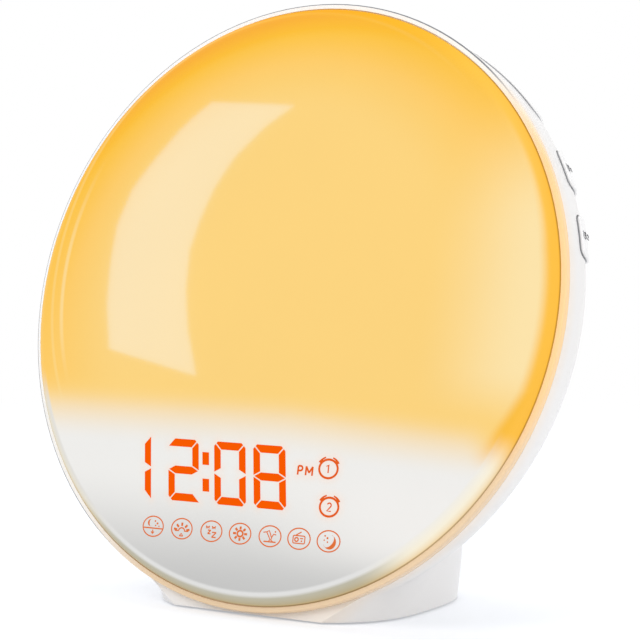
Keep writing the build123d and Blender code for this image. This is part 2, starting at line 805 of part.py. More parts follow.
jack = slab(-jack_width / 2, jack_width / 2, panel_inside - jack_length, panel_inside,
            port_level, port_level + jack_height)
jack_axis = Pos(0, panel_inside, jack_level) * Rot(-90, 0, 0)
jack += jack_axis * disc(jack_collar, -wall, wall)
jack -= jack_axis * disc(jack_bore, wall - jack_bore_depth, reach)
jack += jack_axis * disc(jack_pin, -jack_bore_depth, wall / 2)
save("power_inlet", Pos(-port_spread, 0, 0) * jack)

usb = slab(-usb_width / 2, usb_width / 2, port_panel - usb_length, port_panel, port_level, port_level + usb_height)
usb -= slab(usb_sheet - usb_width / 2, usb_width / 2 - usb_sheet, port_panel - usb_mouth_depth, reach,
            port_level + usb_sheet, port_level + usb_height - usb_sheet)
usb += slab(2 * usb_sheet - usb_width / 2, usb_width / 2 - 2 * usb_sheet, port_panel - usb_length, port_panel - usb_sheet,
            usb_level, usb_level + usb_tongue)
save("usb_outlet", Pos(port_spread, 0, 0) * usb)

# ---------------------------------------------------------------- underside

plate_top = plate_bottom + plate
door_top = plate_bottom + door
lug_bottom = plate_top + door_gap
lug_top = lug_bottom + door_lug
cell_bottom = lug_top        # the door carries the cell
cell_top = cell_bottom + cell_height
pocket_radius = door_radius + door_gap + cell_wall
base_plate = pedestal_form(wall + plate_gap) & slab(-reach, reach, -reach, reach, plate_bottom, plate_top)
base_plate += disc(pocket_radius, plate_bottom, cell_top + contact + cell_wall)
base_plate += along(base_places, disc(base_boss, plate_bottom, boss_bottom))
base_plate += along(port_posts, disc(screw_boss, plate_bottom, port_bottom))
base_plate -= face * disc(spigot_radius + plate_gap, -rim_depth - rim_spigot_depth - plate_gap, reach)

# the battery door's hole, its lip with two notches, and the cell's pocket
base_plate -= disc(door_radius + door_gap, 0, door_top)
base_plate -= disc(door_neck_radius + door_gap, 0, plate_top)
base_plate -= disc(door_lug_radius + door_gap, plate_top, cell_bottom)
base_plate -= disc(cell_radius + cell_gap, cell_bottom, cell_top + contact)
notch = slab(-door_lug_width / 2 - door_gap, door_lug_width / 2 + door_gap, -reach, reach, 0, cell_bottom)
base_plate -= notch & disc(door_lug_radius + door_gap, 0, cell_bottom)

foot_places = [Pos(x, y, 0) for x in (-foot_x, foot_x) for y in (-foot_y, foot_y)]
base_plate -= along(foot_places, disc(foot_radius + port_gap, 0, plate_bottom + foot_sink))
base_plate -= along(base_places, disc(case_well, 0, plate_bottom + base_screw_sink))
base_plate -= along(base_places, disc(screw_shank + screw_hole, 0, reach))
base_plate -= along(port_posts, disc(screw_shank + screw_pilot, plate_top, reach))
save("base_plate", base_plate)

base_seat = plate_bottom + base_screw_sink
base_screw = Pos(0, 0, base_seat) * forward * screw(boss_bottom - base_seat + base_screw_bite)
save("base_plate_screws", group([place * base_screw for place in base_places]))
rubber_foot = disc(foot_radius, 0, plate_bottom + foot_sink)
rubber_foot = fillet(rubber_foot.edges().group_by(Axis.Z)[0], plate_bottom / 2)
save("rubber_feet", group([place * rubber_foot for place in foot_places]))

battery_door = disc(door_radius, plate_bottom, door_top) + disc(door_neck_radius, door_top, lug_bottom)
lugs = slab(-reach, reach, -door_lug_width / 2, door_lug_width / 2, lug_bottom, lug_top)
battery_door += Rot(0, 0, 45) * (lugs & disc(door_lug_radius, lug_bottom, lug_top))
battery_door -= slab(-door_slot_length / 2, door_slot_length / 2, -door_slot / 2, door_slot / 2,
                     0, plate_bottom + door_slot_depth)
save("battery_door", battery_door)

coin_cell = disc(cell_radius, cell_bottom, cell_top)
save("coin_cell", fillet(coin_cell.edges().filter_by(GeomType.CIRCLE), contact))
strip = slab(-cell_radius, cell_radius, -contact_width / 2, contact_width / 2, cell_top, cell_top + contact)
leaf = ring(cell_radius + contact, cell_radius, cell_bottom, cell_top)
leaf &= slab(-contact_width / 2, contact_width / 2, 0, reach, cell_bottom, cell_top)
save("cell_contacts", group([strip, leaf]))

case_screw = Pos(0, 0, -case_screw_seat) * forward * screw(case_screw_seat - rim_boss_depth + case_screw_bite)
save("case_screws", group([face * place * case_screw for place in bosses]))
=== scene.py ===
# %% [markdown]
# # A sunrise alarm clock
# A round lamp leans back on a short pedestal and carries a clock low in its glowing face. The
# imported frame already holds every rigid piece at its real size, so this lesson is about surface:
# the dome and its light, the lit digits, the marks on the keys, and a finish for each piece.

# %% Load the frame
import json
import math
import bmesh
import bpy
import numpy as np
from mathutils import Matrix, Vector


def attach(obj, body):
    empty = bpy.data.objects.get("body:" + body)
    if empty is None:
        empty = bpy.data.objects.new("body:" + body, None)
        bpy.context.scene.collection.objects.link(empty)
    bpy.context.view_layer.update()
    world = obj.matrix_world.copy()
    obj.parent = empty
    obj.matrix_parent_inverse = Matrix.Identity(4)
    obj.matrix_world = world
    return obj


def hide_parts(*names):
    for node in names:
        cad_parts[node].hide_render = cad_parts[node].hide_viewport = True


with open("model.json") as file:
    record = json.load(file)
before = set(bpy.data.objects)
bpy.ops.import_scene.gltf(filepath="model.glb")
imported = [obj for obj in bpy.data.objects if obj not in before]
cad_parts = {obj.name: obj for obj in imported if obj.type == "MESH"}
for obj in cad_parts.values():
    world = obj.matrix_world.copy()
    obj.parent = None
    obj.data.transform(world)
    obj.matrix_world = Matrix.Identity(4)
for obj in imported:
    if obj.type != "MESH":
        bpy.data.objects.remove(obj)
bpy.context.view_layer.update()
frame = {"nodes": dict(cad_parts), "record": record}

nodes = frame["nodes"]

# %% [markdown]
# ## Two leaning frames
# The face leans back by one angle and the bowl behind it by a little more. Everything on the face
# is easiest to draw as (right, up along the face, out of the face) in millimetres, and is carried
# into the clock's own frame, which is in metres, at the end by one matrix product.

# %% Face and shell frames
MM = 0.001
face_tilt = math.radians(13.9)
shell_tilt = math.radians(17.0)
face_middle = np.array((0.0, -14.4, 85.0)) * MM
rim_depth = 2.4 * MM


def leaning_axes(tilt):
    """Rows are the unit vectors right, up along the leaning plane, and out of it."""
    return np.array(((1.0, 0.0, 0.0),
                     (0.0, math.sin(tilt), math.cos(tilt)),
                     (0.0, -math.cos(tilt), math.sin(tilt))))


face_axes = leaning_axes(face_tilt)
shell_axes = leaning_axes(shell_tilt)
shell_middle = face_middle - rim_depth * face_axes[2]


def from_face(points):
    """Middle of the face + right, up and out parts along the face's axes, all in metres."""
    return face_middle + np.asarray(points, float) @ face_axes


def from_shell(points):
    """Middle of the shell's front edge + right, up and out parts along the shell's axes."""
    return shell_middle + np.asarray(points, float) @ shell_axes


print("face middle at", face_middle, "shell middle at", shell_middle.round(5))

# %% [markdown]
# ## Meshes from arrays
# A turned or swept surface is a grid: each row is the profile at one place along the path. The
# faces are index arithmetic on that grid, so nothing loops over vertices.

# %% Grid helpers


def make_mesh(name, points, quads, smooth=True):
    """A mesh from an (n, 3) array of points and an (m, 4) array of corners.

    Points that share a place become one vertex, so poles and pointed ends close, and a cell that
    loses a corner there becomes a triangle. Its normals are then turned outward.
    """
    points, same = np.unique(np.round(points, 9), axis=0, return_inverse=True)
    corners = same.reshape(-1)[quads]
    kept = corners != np.roll(corners, -1, axis=1)
    whole = kept.sum(1) > 2
    corners, kept = corners[whole], kept[whole]
    sizes = kept.sum(1)
    mesh = bpy.data.meshes.new(name)
    mesh.vertices.add(len(points))
    mesh.vertices.foreach_set("co", np.ascontiguousarray(points, np.float32).ravel())
    mesh.loops.add(int(sizes.sum()))
    mesh.loops.foreach_set("vertex_index", np.ascontiguousarray(corners[kept], np.int32))
    mesh.polygons.add(len(sizes))
    starts = np.concatenate([[0], np.cumsum(sizes)[:-1]])
    mesh.polygons.foreach_set("loop_start", starts.astype(np.int32))
    mesh.polygons.foreach_set("use_smooth", np.full(len(sizes), smooth))
    mesh.update(calc_edges=True)
    mesh.validate()
    turned = bmesh.new()
    turned.from_mesh(mesh)
    bmesh.ops.recalc_face_normals(turned, faces=turned.faces)
    turned.to_mesh(mesh)
    turned.free()
    piece = bpy.data.objects.new(name, mesh)
    bpy.context.scene.collection.objects.link(piece)
    return piece


def vertex_places(piece):
    """The vertices of a piece as (right, up, out) from the middle of the face."""
    places = np.zeros(len(piece.data.vertices) * 3, np.float32)
    piece.data.vertices.foreach_get("co", places)
    return (places.reshape(-1, 3) - face_middle) @ face_axes.T / MM


def grid_quads(rows, columns, close_rows=False, close_columns=True):
    """Corner numbers of the cells between neighbouring rows and columns of a grid."""
    row = np.arange(rows if close_rows else rows - 1)[:, None]
    column = np.arange(columns if close_columns else columns - 1)[None, :]
    next_row = (row + 1) % rows
    next_column = (column + 1) % columns
    corners = (row * columns + column, row * columns + next_column,
               next_row * columns + next_column, next_row * columns + column)
    return np.stack(np.broadcast_arrays(*corners), -1).reshape(-1, 4)


def turned_points(profile, columns):
    """Profile points (r, w) turned about the face's axis: (r cos a, r sin a, w) at each angle a."""
    angle = np.linspace(0, 2 * np.pi, columns, endpoint=False)
    radius, height = np.split(profile, 2, axis=1)
    places = np.broadcast_arrays(radius * np.cos(angle), radius * np.sin(angle), height)
    return np.stack(places, -1)


def arc(centre, radius, start, end, count):
    """Points on a circle from one angle to another, in degrees."""
    angle = np.radians(np.linspace(start, end, count))
    return np.stack([centre[0] + radius * np.cos(angle), centre[1] + radius * np.sin(angle)], -1)


print(len(grid_quads(3, 4)), "cells between 3 rows and 4 closed columns")

# %% [markdown]
# ## Arithmetic in a material
# Each node is one step, and sockets carry the values. These helpers take a number, a colour or
# another node's socket for every operand, so a formula can be written almost as it is said.

# %% Colour and node helpers
black = (0.0, 0.0, 0.0, 1.0)
white = (1.0, 1.0, 1.0, 1.0)


def linear(red, green, blue):
    """An sRGB colour from 0 to 255 as linear light.

    Up to 0.04045 it is value / 12.92, and from there on ((value + 0.055) / 1.055) ^ 2.4.
    """
    value = np.array((red, green, blue)) / 255.0
    light = np.where(value <= 0.04045, value / 12.92, ((value + 0.055) / 1.055) ** 2.4)
    return tuple(light) + (1.0,)


def add_node(tree, kind, **settings):
    node = tree.nodes.new("ShaderNode" + kind)
    for key, value in settings.items():
        setattr(node, key, value)
    return node


def feed(tree, socket, value):
    """Give a socket its number, colour or vector, or link another socket to it."""
    if isinstance(value, (int, float, tuple)):
        socket.default_value = value
    else:
        tree.links.new(value, socket)


def feed_row(tree, node, values):
    """Feed a node's inputs in their order."""
    for socket, value in zip(node.inputs, values):
        feed(tree, socket, value)
    return node


def feed_all(tree, node, values):
    """Feed a node's inputs by name."""
    for name, value in values.items():
        feed(tree, node.inputs[name], value)
    return node


def math_node(tree, operation, *operands, clamp=False):
    """One step of arithmetic; clamp keeps its result from 0 to 1."""
    node = add_node(tree, "Math", operation=operation, use_clamp=clamp)
    return feed_row(tree, node, operands).outputs[0]


def vector_node(tree, operation, *operands):
    """One step of arithmetic on vectors."""
    return feed_row(tree, add_node(tree, "VectorMath", operation=operation), operands)


def times(tree, first, *others):
    """The product of all its operands."""
    for other in others:
        first = math_node(tree, "MULTIPLY", first, other)
    return first


def weighted(tree, start, *terms):
    """The start plus weight * value for each (weight, value)."""
    for weight, value in terms:
        start = math_node(tree, "MULTIPLY_ADD", value, weight, start)
    return start


def around(tree, value, middle, spread):
    """A value from 0 to 1 carried to a range of that spread round a middle."""
    return weighted(tree, middle - spread / 2, (spread, value))


def length(tree, first, second):
    """(first^2 + second^2) ^ 0.5."""
    squares = math_node(tree, "MULTIPLY_ADD", first, first, times(tree, second, second))
    return math_node(tree, "POWER", squares, 0.5)


def beyond(tree, value, start):
    """How far a value is past its start, and 0 before it."""
    return math_node(tree, "MAXIMUM", math_node(tree, "SUBTRACT", value, start), 0.0)


def smooth_step(tree, value, low, high):
    """0 up to `low`, 1 from `high` on, and a smooth change between; `low` may be the larger."""
    node = add_node(tree, "MapRange", interpolation_type="SMOOTHSTEP")
    feed_all(tree, node, {"Value": value, "From Min": low, "From Max": high})
    return node.outputs["Result"]


def colour_ramp(tree, value, stops):
    """Colours at places from 0 to 1, as (place, sRGB colour)."""
    node = add_node(tree, "ValToRGB")
    ramp = node.color_ramp
    while len(ramp.elements) < len(stops):
        ramp.elements.new(0.5)
    for element, (place, colour) in zip(ramp.elements, stops):
        element.position = place
        element.color = linear(*colour)
    feed(tree, node.inputs["Fac"], value)
    return node.outputs["Color"]


def mix_colour(tree, factor, first, second):
    """first * (1 - factor) + second * factor."""
    node = add_node(tree, "Mix", data_type="RGBA")
    for number, value in ((0, factor), (6, first), (7, second)):
        feed(tree, node.inputs[number], value)
    return node.outputs[2]


def noise(tree, place, scale, detail=2.0):
    """Noise from 0 to 1, with about `scale` of its patches to a metre."""
    node = add_node(tree, "TexNoise")
    feed_all(tree, node, {"Vector": place, "Scale": scale, "Detail": detail})
    return node.outputs["Fac"]


def object_place(tree):
    return add_node(tree, "TexCoord").outputs["Object"]


def new_material(name):
    """A material with its node tree and its shader."""
    material = bpy.data.materials.new(name)
    material.use_nodes = True
    return material, material.node_tree, material.node_tree.nodes["Principled BSDF"]


print("mid grey as linear light:", linear(128, 128, 128))

# %% [markdown]
# ## Finishes
# Moulded plastic is never one flat colour: it drifts a little from place to place, its gloss
# varies, and a faint orange-peel shows in highlights. One builder makes that for every plain
# finish, from noise on Object coordinates, and each finish gives its own colour, gloss and grain.

# %% Finishes of the carried-over pieces


def dimmed(colour, share):
    """A linear colour times (1 - share)."""
    return tuple(channel * (1 - share) for channel in colour[:3]) + (1.0,)


def finish(name, colour, roughness=0.4, metallic=0.0, drift=0.03, spread=0.06, patch=25,
           grain=0.02, grain_size=0.4, coat=0.0, coat_rough=0.12):
    """A procedural finish. Colour drifts by `drift` over patches, roughness by `spread`,
    and `grain` is the bump height in millimetres of a noise whose grains are `grain_size` mm."""
    material, tree, shader = new_material(name)
    place = object_place(tree)
    wide = noise(tree, place, 1 / (patch * MM), 3.0)
    grains = noise(tree, place, 1 / (grain_size * MM))
    base = linear(*colour)
    amount = smooth_step(tree, wide, 0.35, 0.65)
    bump = feed_all(tree, add_node(tree, "Bump"),
                    {"Strength": 1.0, "Distance": grain * MM, "Height": grains})
    feed_all(tree, shader, {
        "Base Color": mix_colour(tree, amount, base, dimmed(base, drift)),
        "Roughness": around(tree, wide, roughness, spread), "Normal": bump.outputs["Normal"],
        "Metallic": metallic, "Coat Weight": coat, "Coat Roughness": coat_rough})
    return material


finishes = {
    "housing_white": finish("gloss white housing", (243, 241, 239), 0.3, drift=0.015, grain=0.0012,
                            coat=0.3, coat_rough=0.25),
    "ring_white": finish("rim white", (246, 244, 241), 0.24, drift=0.012, grain=0.0008, coat=0.3),
    "key_white": finish("key white", (250, 249, 248), 0.30, drift=0.01, grain=0.0012,
                        grain_size=0.3),
    "diffuser": finish("opal diffuser", (252, 214, 130), 0.3),
    "tray_white": finish("matt white tray", (240, 240, 238), 0.6, grain=0.01),
    "circuit_board": finish("green solder mask", (18, 92, 50), 0.35, drift=0.2, patch=4,
                            grain=0.008),
    "black_plastic": finish("matt black plastic", (24, 24, 26), 0.55, drift=0.15, grain=0.012),
    "component_black": finish("moulded resin", (30, 30, 32), 0.5, drift=0.2, patch=3, grain=0.01),
    "led_lens": finish("phosphor", (242, 214, 92), 0.3, drift=0.1, patch=2),
    "light_guide": finish("orange light guide", (255, 98, 20), 0.25, drift=0.06, patch=6),
    "film": finish("white film", (242, 240, 236), 0.4, drift=0.02, grain=0.002),
    "screw_steel": finish("zinc plated steel", (176, 180, 184), 0.32, 1.0, drift=0.12, patch=2),
    "contact_metal": finish("nickel plate", (196, 194, 186), 0.25, 1.0, drift=0.1, patch=3),
    "cell_steel": finish("nickel plated can", (204, 204, 202), 0.22, 1.0, drift=0.06, patch=5),
    "speaker_steel": finish("black painted steel", (48, 48, 50), 0.42, drift=0.12, patch=6),
    "cone_paper": finish("black paper cone", (34, 34, 36), 0.8, drift=0.25, patch=1.5, grain=0.05),
    "foam": finish("black foam", (30, 30, 32), 0.9, drift=0.3, patch=1, grain=0.15,
                   grain_size=0.8),
    "magnet": finish("ferrite", (46, 46, 50), 0.6, drift=0.2, patch=4, grain=0.03),
    "foot_rubber": finish("grey rubber", (150, 150, 152), 0.75, drift=0.08, patch=5, grain=0.03),
}
slot_of = {part["node"]: part["material_slot"] for part in frame["record"]["subparts"]}
for name, node in nodes.items():
    node.data.materials.clear()
    node.data.materials.append(finishes[slot_of[name]])
print(len(finishes), "finishes")

# %% [markdown]
# ## The dome
# The diffuser is a shallow turned shell: a crown that is nearly flat, a rounded shoulder, and a
# short side that stands in the rim. Its profile is the outer line down to the rim and the inner
# line back up, so that turning it gives a closed wall.

# %% Dome profile
dome_radius = 84.2
dome_wall = 2.0
dome_height = 5.3
dome_crown = 2.2
dome_corner = 3.9
dome_foot = -1.2
dome_columns = 400


def crown_height(radius, apex=dome_height, edge=dome_radius):
    """The crown is a parabola that falls by dome_crown from the apex to the edge."""
    return apex - dome_crown * (radius / edge) ** 2


def shoulder_circle(radius, apex, corner):
    """The circle that touches the crown and the side: the slope where it leaves the crown, in
    degrees, the radius of that place, and the circle's middle.

    The middle is at r - corner, and the slope is atan(2 crown (r - corner) / r^2).
    """
    middle_r = radius - corner
    slope = math.degrees(math.atan(2 * dome_crown * middle_r / radius ** 2))
    touch_r = middle_r + corner * math.sin(math.radians(slope))
    middle_w = crown_height(touch_r, apex, radius) - corner * math.cos(math.radians(slope))
    return slope, touch_r, (middle_r, middle_w)


def dome_profile(radius, apex, corner, rows):
    """Outer or inner line of the wall from the axis down to the foot."""
    slope, touch_r, middle = shoulder_circle(radius, apex, corner)
    flat_r = np.linspace(0.0, touch_r, rows, endpoint=False)
    flat = np.stack([flat_r, crown_height(flat_r, apex, radius)], -1)
    shoulder = arc(middle, corner, 90 - slope, 0, rows // 5)
    side = np.stack([np.full(3, radius), np.linspace(middle[1], dome_foot, 4)[1:]], -1)
    return np.concatenate([flat, shoulder, side])


outer_line = dome_profile(dome_radius, dome_height, dome_corner, 110)
inner_line = dome_profile(dome_radius - dome_wall, dome_height - dome_wall,
                          dome_corner - dome_wall, 40)
profile = np.concatenate([outer_line, inner_line[::-1]])
dome_points = from_face(turned_points(profile, dome_columns).reshape(-1, 3) * MM)
dome = make_mesh("glowing_dome", dome_points, grid_quads(len(profile), dome_columns))
print("dome:", len(profile), "rows by", dome_columns, "columns")

# %% [markdown]
# ## Lit marks
# Every lit mark is a flat strip: two edges with as many points each, laid on the crown and given a
# hair of thickness. A stroke is a path with an edge on each side of it, a disc is two half circles,
# and a bar of a seven-bar digit is two bent edges that meet in a point.

# %% Strips, strokes and fills
crescent_ends = (62, 298)  # degrees


def strip(left, right, closed=False):
    return np.asarray(left, float), np.asarray(right, float), closed


def stroke(points, width, closed=False):
    """Edges half a width to each side of a path, square to it at every point."""
    points = np.asarray(points, float)
    if closed:
        along = np.roll(points, -1, 0) - np.roll(points, 1, 0)
    else:
        along = np.gradient(points, axis=0)
    along = along / np.linalg.norm(along, axis=1, keepdims=True)
    side = np.stack([-along[:, 1], along[:, 0]], -1) * width / 2
    return strip(points + side, points - side, closed)


def ring(centre, across, up, width, count=48):
    """A closed stroke round an ellipse with the half axes across and up."""
    angle = np.linspace(0, 2 * np.pi, count, endpoint=False)
    path = np.stack([centre[0] + across * np.cos(angle), centre[1] + up * np.sin(angle)], -1)
    return stroke(path, width, True)


def disc(centre, radius, count=9):
    """A filled circle between its upper and its lower half."""
    path = arc((0, 0), radius, 0, 180, count)
    return strip(centre + path, centre + path * (1, -1))


def dots(*rows):
    """Discs from (right, up, radius)."""
    return [disc((right, up), radius) for right, up, radius in rows]


def crescent(centre, radius, bite, turn=0.0, count=17):
    """Between an arc and the same arc drawn in by `bite` towards the line through its two ends."""
    outward = arc((0, 0), radius, *crescent_ends, count)
    inward = outward * (1 - bite, 1) + (bite * outward[0, 0], 0)
    swing = np.array(((math.cos(turn), math.sin(turn)), (-math.sin(turn), math.cos(turn))))
    return strip(centre + outward @ swing, centre + inward @ swing)


def moved(marks, place, scale=1.0):
    return [strip(left * scale + place, right * scale + place, closed)
            for left, right, closed in marks]


def leaned(marks, share):
    """Marks pushed sideways by a share of their height."""
    lean = np.array(((1.0, 0.0), (share, 1.0)))
    return [strip(left @ lean, right @ lean, closed) for left, right, closed in marks]


def strips_mesh(name, marks, surface, lift, sink):
    """One mesh from many strips, each from `lift` over the surface down to `sink` under it.

    surface(points, height) carries flat points to the clock's frame.
    """
    points, quads, first = [], [], 0
    for left, right, closed in marks:
        rows = len(left)
        loop = np.stack([surface(left, lift), surface(right, lift), surface(right, -sink),
                         surface(left, -sink)], 1).reshape(-1, 3)
        cells = grid_quads(rows, 4, close_rows=closed)
        if not closed:
            end = np.arange(4)
            cells = np.concatenate([cells, [end, end + (rows - 1) * 4]])
        points.append(loop)
        quads.append(cells + first)
        first += len(loop)
    return make_mesh(name, np.concatenate(points), np.concatenate(quads), smooth=False)


def on_crown(flat, height):
    """Flat (right, up) points carried onto the dome's crown, `height` above it."""
    radius = np.hypot(flat[:, 0], flat[:, 1])
    return from_face(np.column_stack([flat, crown_height(radius) + height]) * MM)


print(len(ring((0, 0), 1, 1, 0.1)[0]), "points on each edge of a ring")

# %% [markdown]
# ## Seven-bar digits
# The bars of a digit are cut apart by mitres at its corners, and its outer corners are cut off too.
# With the digit's height H, the cut c and the slit s, the mitre is the line x = (H - y) + s and the
# cut is the line x + (H - y) = c, so the tip of the top bar lies where the two cross.

# %% Digits
digit_width = 10.4
digit_height = 17.2
half_height = digit_height / 2
bar = 2.15
corner_cut = 1.25
slit = 0.26
open_start = 0.2
colon_width = 2.2
colon_height = 3.5
colon_levels = (4.95, 12.25)
digits_level = -57.95
digit_lean = -0.15


def flipped(mark, sideways, upside):
    """A bar mirrored in the digit's middle, sideways or up and down."""
    left, right, closed = mark
    sign = np.array((-1 if sideways else 1, -1 if upside else 1))
    shift = np.array((digit_width if sideways else 0, digit_height if upside else 0))
    return strip(left * sign + shift, right * sign + shift, closed)


def digit_bars():
    """The seven bars of a digit, by letter from the top one clockwise, with the middle one last."""
    width, height, half = digit_width, digit_height, half_height
    tip_in, tip_down = (corner_cut + slit) / 2, (corner_cut - slit) / 2
    first, last = (tip_in, height - tip_down), (width - tip_in, height - tip_down)
    top = strip([first, (corner_cut, height), (width - corner_cut, height), last],
                [first, (bar + slit, height - bar), (width - bar - slit, height - bar), last])
    first = (tip_down, height - tip_in)
    upper = strip([first, (0, height - corner_cut), (0, half + slit)],
                  [first, (bar, height - bar - slit), (bar, half + bar / 2 + slit)])
    first, last = (slit, half), (width - slit, half)
    middle = strip(*([first, (bar + slit, level), (width - bar - slit, level), last]
                     for level in (half + bar / 2, half - bar / 2)))
    return {"a": top, "b": flipped(upper, True, False), "c": flipped(upper, True, True),
            "d": flipped(top, False, True), "e": flipped(upper, False, True), "f": upper,
            "g": middle}


bars = digit_bars()
zero = [bars[letter] for letter in "abcdef"]
eight = zero + [bars["g"]]
top_end, foot_end = bars["a"][0][3], bars["d"][0][0]
open_top = strip([(open_start, digit_height - bar), (open_start + bar, digit_height),
                  (digit_width - corner_cut, digit_height), top_end],
                 [(open_start, digit_height - bar), (bar, digit_height - bar),
                  (digit_width - bar - slit, digit_height - bar), top_end])
open_foot = strip([(digit_width, 0), (digit_width - bar, 0), (corner_cut, 0), foot_end],
                  [(digit_width, 0), (digit_width - bar, bar), (bar + slit, bar), foot_end])
two = [open_top, bars["b"], bars["g"], bars["e"], open_foot]
one = [strip([(0, digit_height - bar), (0, half_height + bar / 2 + slit)],
             [(bar, digit_height), (bar, half_height + slit)]),
       strip([(0, half_height - bar / 2 - slit), (0, bar)],
             [(bar, half_height - slit), (bar, 0)])]
colon = [strip(*([(side * colon_width / 2, level - colon_height / 2),
                  (side * colon_width / 2, level + colon_height / 2)] for side in (-1, 1)))
         for level in colon_levels]
time_digits = ((one, -34.7), (two, -26.4), (colon, -13.6), (zero, -10.7), (eight, 2.3))
time_marks = []
for digit, place in time_digits:
    time_marks += moved(leaned(digit, digit_lean), (place, digits_level))
print(len(time_digits), "digits and dots from", len(time_marks), "bars")

# %% [markdown]
# ## Small signs
# Two bells with a number each, the letters of the half day, and seven signs for what the clock can
# play or show. They are all drawn from the same strokes, rings and fills, about a ring's middle.

# %% Small signs
letter_line = 0.5
sign_line = 0.36
thin_line = 0.3
letter_height = 2.4
numeral_height = 2.2
sign_level = -65.65
sign_rise = 0.012  # of the row of signs, to the right
sign_places = (-30.65, -20.75, -10.75, -1.25, 8.45, 17.65, 26.85)
digit_lift = 0.06
sign_lift = 0.05
mark_sink = 0.3


def letter_p(height):
    bowl = arc((0.31 * height, 0.74 * height), 0.26 * height, 90, -90, 9)
    return [stroke([(0, 0), (0, height)], letter_line),
            stroke(np.concatenate([[(0, height)], bowl, [(0, 0.48 * height)]]), letter_line)]


def letter_m(height):
    corners = np.array(((0, 0), (0, 1), (0.42, 0.3), (0.84, 1), (0.84, 0))) * height
    return [stroke(ends, letter_line) for ends in zip(corners[:-1], corners[1:])]


def small_one(height):
    path = np.array(((-0.28, 0.28), (0, 0.5), (0, -0.5))) * height
    return [stroke(path, sign_line)]


def small_two(height):
    foot = ((-0.28, -0.5), (0.3, -0.5))
    path = np.concatenate([arc((0, 0.22), 0.27, 160, -30, 9), foot]) * height
    return [stroke(path, sign_line)]


def bell(numeral):
    """A ring with its number in it, and two ears that thicken downwards."""
    marks = [ring((0, 0), 2.85, 2.5, 0.6)]
    thickness = 0.15 * np.linspace(0.7, 1.3, 9)[:, None]
    for start, end in ((108, 150), (72, 30)):
        path = arc((0, 0), 1.0, start, end, 9) * (3.75, 3.35)
        marks.append(strip(path, path * (1 - thickness)))
    return marks + numeral


def beams(centre, near, far, angles, width, squash=0.85):
    """Short strokes that point away from a middle."""
    marks = []
    for angle in np.radians(angles):
        way = np.array((math.cos(angle), math.sin(angle) * squash))
        marks.append(stroke([centre + way * near, centre + way * far], width))
    return marks


def sign_dusk():
    marks = [stroke([(-3.2, -0.5), (3.2, -0.5)], sign_line),
             stroke([(0, -0.9), (0, -2.0)], thin_line),
             stroke([(-0.5, -1.45), (0, -2.05), (0.5, -1.45)], thin_line),
             crescent((-1.0, 0.95), 0.95, 0.4)]
    return marks + dots((0.6, 1.5, 0.26), (1.4, 0.9, 0.3), (0.8, 0.3, 0.22), (2.0, 0.15, 0.2))


def sign_dawn():
    middle = (0.0, -0.6)
    arch = arc((0, 0), 1.0, 180, 0, 13) * (1, 0.85)
    feet = np.array(((-2.3, 0.0), (-1.5, 0.0)))
    horizon = np.concatenate([feet, arch, -feet[::-1]]) + middle
    marks = [stroke(horizon, sign_line),
             stroke([(-0.6, -2.0), (0, -1.3), (0.6, -2.0)], thin_line),
             stroke([(-0.6, -2.0), (0.6, -2.0)], thin_line)]
    return marks + beams(middle, 1.6, 2.7, (12, 48, 90, 132, 168), 0.6)


def sign_sleep():
    def zed(place, size):
        corners = np.array(((-1, 1), (1, 1), (-1, -1), (1, -1))) * size / 2 + place
        return [stroke(ends, 0.34) for ends in zip(corners[:-1], corners[1:])]

    eyes = (-1.3, 0.7)
    lids = [stroke(arc((eye, 1.6), 0.6, 200, 340, 7), sign_line) for eye in eyes]
    lashes = [stroke([(eye + side, 1.0), (eye + 1.3 * side, 0.65)], 0.2)
              for eye in eyes for side in (-0.4, 0.0, 0.4)]
    return zed((-0.7, -0.25), 0.95) + zed((0.95, -0.95), 1.35) + lids + lashes


def sign_sun():
    return [ring((0, 0), 0.9, 0.8, 0.5)] + beams((0, 0), 1.35, 2.3, range(0, 360, 45), 0.62)


def sign_birds():
    paths = (((-2.2, 0.9), (-1.2, 1.1), (-0.5, 0.1), (0.1, -0.9), (-0.5, -1.6)),
             ((1.9, 0.5), (1.1, 0.6), (0.6, -0.2), (0.4, -1.0), (1.2, -1.6)))
    neck = ((-1.1, 1.1), (-0.4, 1.5), (0.0, 0.8), (0.4, -0.2))
    return ([stroke(path, thin_line) for path in paths]
            + [stroke([(-1.9, -1.5), (2.0, -1.5)], sign_line), stroke(neck, 0.28)]
            + dots((1.6, 1.3, 0.24)))


def sign_radio():
    corners = ((1.5, -0.9, -90), (1.5, 0.45, 0), (-1.5, 0.45, 90), (-1.5, -0.9, 180))
    box = np.concatenate([arc((x, y), 0.35, start, start + 90, 4) for x, y, start in corners])
    return [stroke(box, thin_line, True), ring((-0.75, -0.25), 0.55, 0.5, sign_line, 24),
            stroke([(0.35, 0.1), (1.3, 0.1)], thin_line),
            stroke([(-1.0, 0.9), (0.6, 1.85)], thin_line)] + dots((0.85, -0.6, 0.24))


def sign_moon():
    return ([crescent((0.35, -0.2), 1.95, 0.38, math.radians(140))]
            + dots((-1.2, 1.35, 0.24), (-0.4, 0.8, 0.3), (-1.35, 0.2, 0.2), (-0.3, -0.25, 0.22)))


signs = (sign_dusk, sign_dawn, sign_sleep, sign_sun, sign_birds, sign_radio, sign_moon)
small_marks = (moved(letter_p(letter_height), (15.0, -48.05))
               + moved(letter_m(letter_height), (17.5, -48.05))
               + moved(bell(small_one(numeral_height)), (24.4, -45.85))
               + moved(bell(small_two(numeral_height)), (25.9, -55.95)))
sign_marks = []
for place, sign in zip(sign_places, signs):
    level = sign_level + sign_rise * (place - sign_places[0])
    sign_marks += moved([ring((0, 0), 3.5, 2.8, 0.34)] + sign(), (place, level))

